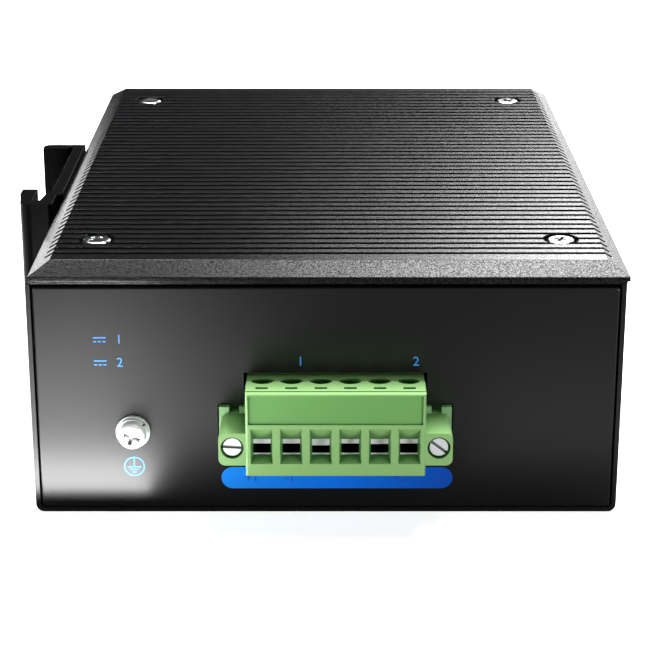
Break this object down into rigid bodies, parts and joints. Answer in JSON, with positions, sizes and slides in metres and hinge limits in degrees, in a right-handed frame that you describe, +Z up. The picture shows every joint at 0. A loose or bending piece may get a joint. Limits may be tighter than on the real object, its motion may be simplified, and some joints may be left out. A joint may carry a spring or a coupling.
{
  "type": "din rail ethernet switch",
  "caption": "Compact industrial network switch in a black folded case with a ribbed heat-sink cover, a pluggable screw terminal and a rear clip for a 35 mm rail.",
  "frame": {"origin": "centre of the case's flat side, which it rests on", "axes": "+Z up through the ribbed cover, -Y out of the panel with the power terminal, +X out of the wall with the network ports, -X out of the wall with the rail clip"},
  "size_m": [0.1131, 0.1535, 0.0463],
  "materials": {
    "powder_coated_aluminium": "black textured powder coat on aluminium",
    "powder_coated_steel": "black fine-textured powder coat on steel sheet",
    "anodised_aluminium": "black anodised extrusion",
    "nickel_plated_steel": "nickel plate",
    "zinc_plated_steel": "bright zinc plate",
    "green_nylon": "moulded green nylon",
    "tinned_brass": "tinned brass",
    "green_laminate": "solder-masked glass-fibre board",
    "black_resin": "black moulded resin",
    "tinned_shield": "tinned shield sheet",
    "gilt_bronze": "gold-plated spring bronze",
    "clear_acrylic": "clear acrylic light pipe",
    "white_lamp": "small white lamp package",
    "grey_silicone": "soft heat-conducting silicone pad",
    "bare_aluminium": "milled aluminium",
    "capacitor_sleeve": "black sleeved can",
    "ferrite": "pressed ferrite powder"
  },
  "bodies": {
    "root": {"heat_sink_cover": "powder_coated_aluminium", "cover_screws": "nickel_plated_steel", "cover_pillars": "nickel_plated_steel", "case_chassis": "powder_coated_steel", "base_screws": "nickel_plated_steel", "terminal_panel": "powder_coated_steel", "blank_panel": "powder_coated_steel", "panel_screws": "nickel_plated_steel", "earth_screw": "nickel_plated_steel", "earth_spring_washer": "nickel_plated_steel", "earth_flat_washer": "nickel_plated_steel", "earth_nut": "zinc_plated_steel", "din_rail_clip": "anodised_aluminium", "clip_screws": "nickel_plated_steel", "clip_nuts": "zinc_plated_steel", "circuit_board": "green_laminate", "board_standoffs": "nickel_plated_steel", "terminal_plug": "green_nylon", "wire_clamps": "zinc_plated_steel", "clamp_screws": "zinc_plated_steel", "flange_screws": "nickel_plated_steel", "terminal_header": "green_nylon", "header_pins": "tinned_brass", "jack_housing": "black_resin", "jack_shield": "tinned_shield", "jack_contacts": "gilt_bronze", "module_cages": "tinned_shield", "module_connectors": "black_resin", "light_pipes": "clear_acrylic", "lamp_chips": "white_lamp", "switch_chip": "black_resin", "thermal_pads": "grey_silicone", "heat_block": "bare_aluminium", "transformers": "black_resin", "capacitors": "capacitor_sleeve", "inductors": "ferrite", "input_fuse": "black_resin", "power_controller": "black_resin", "power_switches": "black_resin", "crystal": "tinned_shield"}
  },
  "joints": []
}
